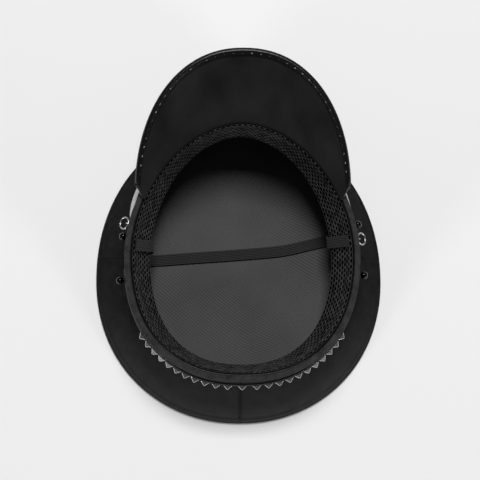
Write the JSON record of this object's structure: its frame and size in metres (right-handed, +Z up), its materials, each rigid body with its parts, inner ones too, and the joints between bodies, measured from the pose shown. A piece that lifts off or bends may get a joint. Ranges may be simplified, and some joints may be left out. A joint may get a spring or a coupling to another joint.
{
  "type": "peaked cap",
  "caption": "Black peaked cap with a wide flat crown, mesh sweatband, studded back strap and elastic chin strap, lying upside down on its crown.",
  "frame": {"origin": "middle of the crown's flat top, the face that the cap lies on, in line with the crown's widest place", "axes": "+Z up out of the hollow, -Y towards the peak, +X towards the wearer's right"},
  "size_m": [0.239, 0.2822, 0.1287],
  "materials": {
    "black_cloth": "fine plain-woven black cloth, matt",
    "black_cord": "cloth-covered cord, matt",
    "band_cloth": "smooth black cloth folded over a stiff band",
    "spacer_mesh": "padded spacer mesh with open holes",
    "ribbed_lining": "fine ribbed woven lining",
    "patent": "patent, glossy",
    "peak_lining": "smooth matt coated cloth",
    "satin_strap": "light grey satin with lengthwise ribs",
    "black_leather": "smooth black leather",
    "bright_steel": "bright polished studs",
    "black_nickel": "glossy black metal",
    "ring_steel": "plain wire",
    "ribbed_elastic": "ribbed woven elastic"
  },
  "bodies": {
    "root": {"crown_top": "black_cloth", "quarter_front_right": "black_cloth", "quarter_back_right": "black_cloth", "quarter_front_left": "black_cloth", "quarter_back_left": "black_cloth", "crown_piping": "black_cord", "hat_band": "band_cloth", "rim_roll": "band_cloth", "sweatband": "spacer_mesh", "crown_lining": "ribbed_lining", "peak_board": "patent", "peak_lining": "peak_lining", "peak_edge": "patent", "front_strap": "satin_strap", "back_strap": "black_leather", "ring_staple_right": "ring_steel", "ring_staple_left": "ring_steel", "side_ring_right": "ring_steel", "side_ring_left": "ring_steel", "ring_stud_right": "black_nickel", "ring_stud_left": "black_nickel", "side_stud_right": "black_nickel", "side_stud_left": "black_nickel", "chin_strap": "ribbed_elastic", "pyramid_stud_01": "bright_steel", "pyramid_stud_02": "bright_steel", "pyramid_stud_03": "bright_steel", "pyramid_stud_04": "bright_steel", "pyramid_stud_05": "bright_steel", "pyramid_stud_06": "bright_steel", "pyramid_stud_07": "bright_steel", "pyramid_stud_08": "bright_steel", "pyramid_stud_09": "bright_steel", "pyramid_stud_10": "bright_steel", "pyramid_stud_11": "bright_steel", "pyramid_stud_12": "bright_steel", "pyramid_stud_13": "bright_steel", "pyramid_stud_14": "bright_steel", "pyramid_stud_15": "bright_steel", "pyramid_stud_16": "bright_steel", "pyramid_stud_17": "bright_steel", "pyramid_stud_18": "bright_steel", "pyramid_stud_19": "bright_steel", "pyramid_stud_20": "bright_steel", "pyramid_stud_21": "bright_steel", "pyramid_stud_22": "bright_steel", "pyramid_stud_23": "bright_steel"}
  },
  "joints": []
}
